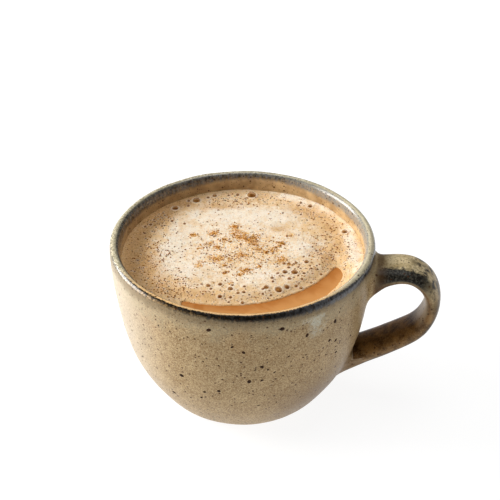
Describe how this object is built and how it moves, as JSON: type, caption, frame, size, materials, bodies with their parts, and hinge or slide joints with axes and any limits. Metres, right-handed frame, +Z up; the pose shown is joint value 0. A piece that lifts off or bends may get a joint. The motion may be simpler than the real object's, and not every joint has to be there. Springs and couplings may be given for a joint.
{
  "type": "cup of masala chai",
  "caption": "Milky spiced tea with froth and spice dust in a round speckled stoneware cup with a strap handle.",
  "frame": {"origin": "on the cup's axis, in the plane of the foot ring that it stands on", "axes": "+Z up along the cup's axis, +X from the axis towards the handle"},
  "size_m": [0.1234, 0.0978, 0.066],
  "materials": {
    "stoneware": "satin sand glaze with iron specks and blue-black bands at the lip",
    "tea": "wet, opaque milky tea",
    "froth": "soft fine foam with small bubbles",
    "spice": "dry ground spice"
  },
  "bodies": {
    "root": {"cup": "stoneware", "chai": "tea", "froth": "froth"}
  },
  "joints": []
}
